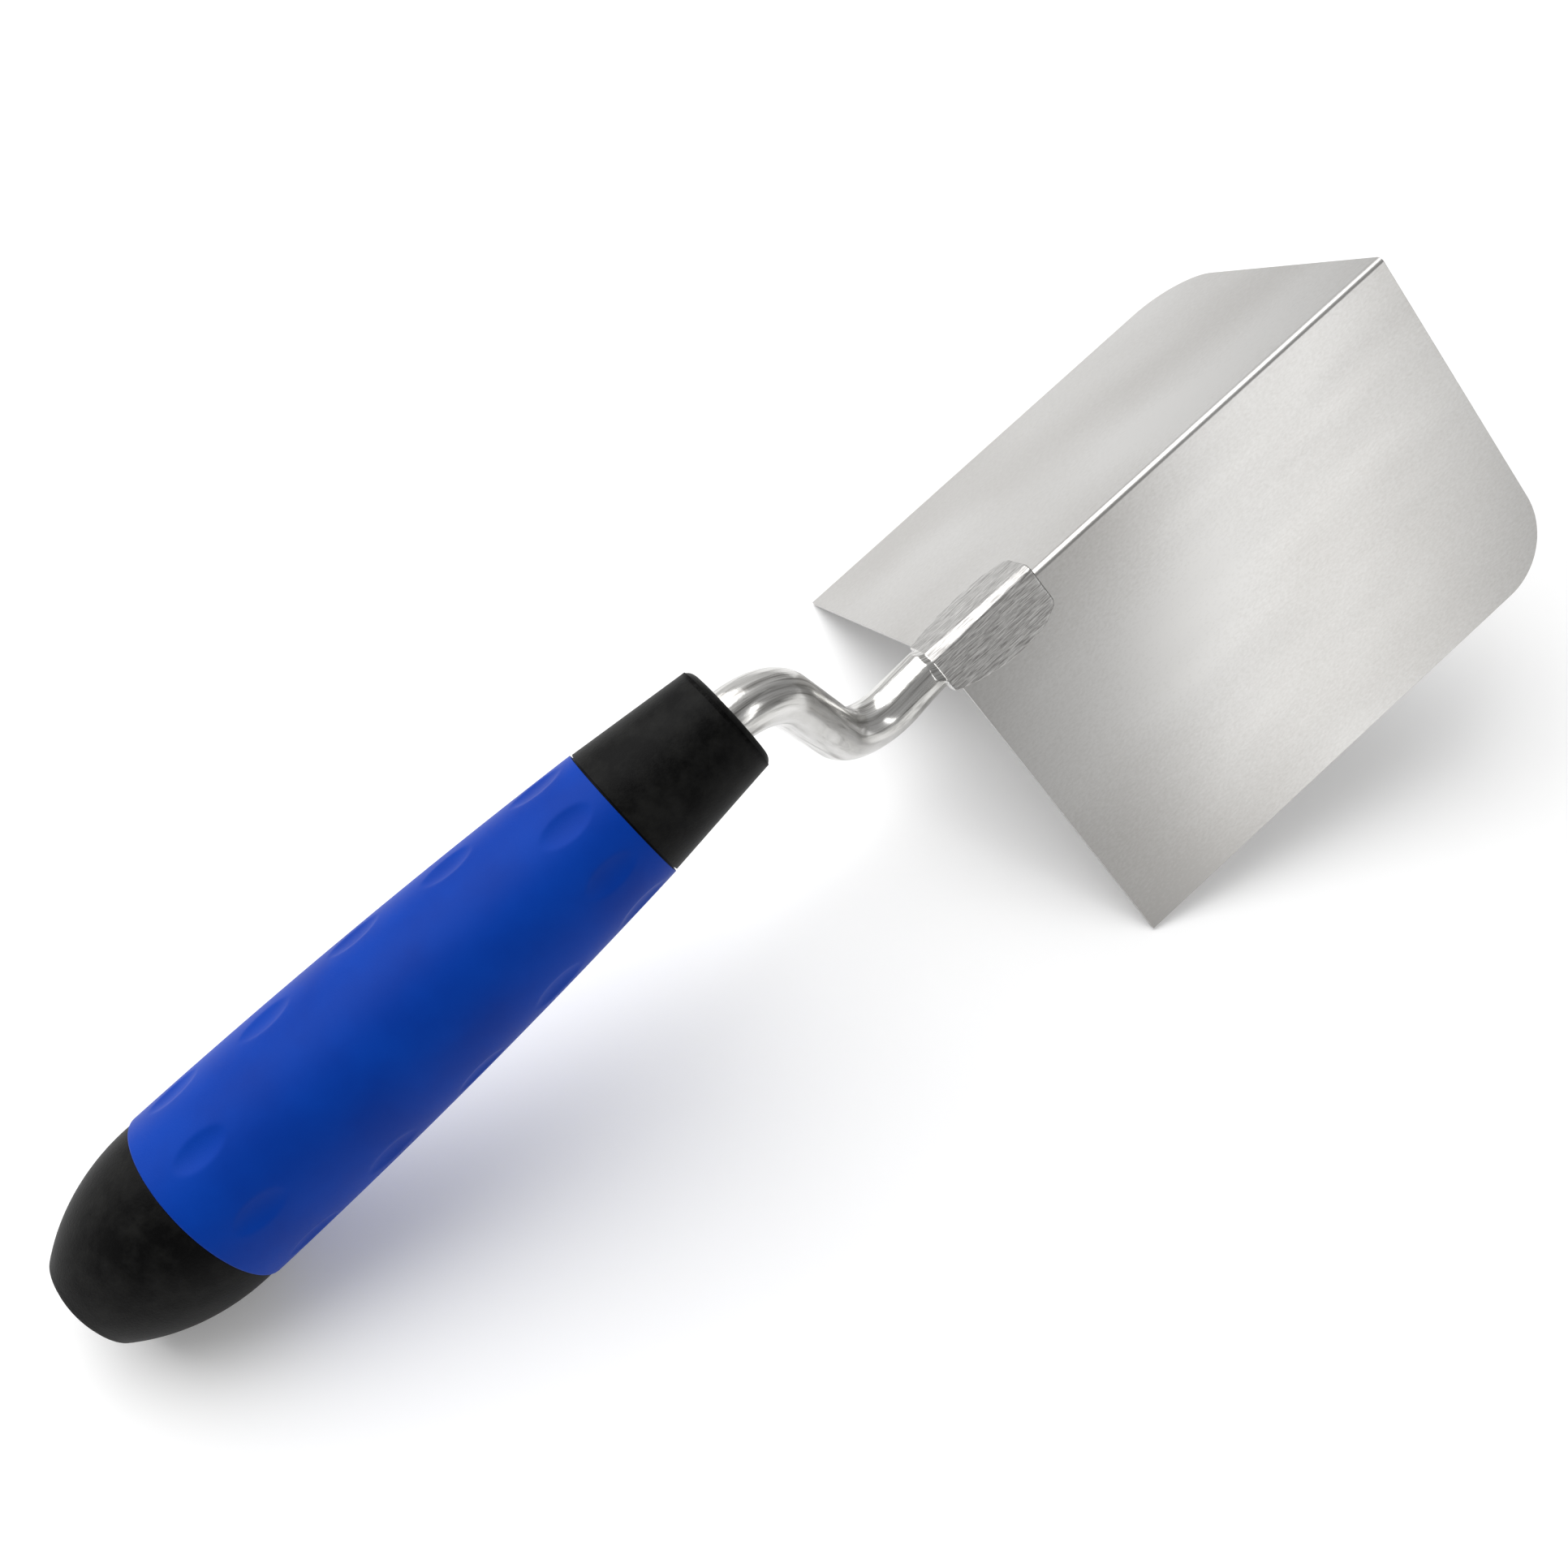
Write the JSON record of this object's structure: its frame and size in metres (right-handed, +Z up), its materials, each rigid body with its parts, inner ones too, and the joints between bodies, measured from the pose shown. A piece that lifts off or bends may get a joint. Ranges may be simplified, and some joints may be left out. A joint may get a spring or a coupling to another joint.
{
  "type": "corner trowel",
  "caption": "Folded sheet-metal corner trowel: two flat wings at just over a right angle, a goose-neck shank and a tapered soft grip.",
  "frame": {"origin": "on the floor, under the middle of the tool's box, as the tool lies at rest", "axes": "+X along the tool from the butt to the blade's nose, +Y to the left wing, +Z up; the fold climbs towards the nose by the resting tilt"},
  "size_m": [0.2876, 0.1024, 0.0876],
  "materials": {
    "blade_steel": "satin rolled stainless sheet",
    "shank_steel": "polished rod with a coarsely ground foot",
    "weld_steel": "as-welded nuggets, scaled grey",
    "core_plastic": "moulded polypropylene, natural matt",
    "grip_rubber": "blue thermoplastic rubber, soft-touch matt",
    "black_plastic": "black moulded plastic, fine matt grain"
  },
  "bodies": {
    "root": {"blade": "blade_steel", "shank": "shank_steel", "spot_welds": "weld_steel", "handle_core": "core_plastic", "grip_sleeve": "grip_rubber", "front_collar": "black_plastic", "butt_cap": "black_plastic"}
  },
  "joints": []
}
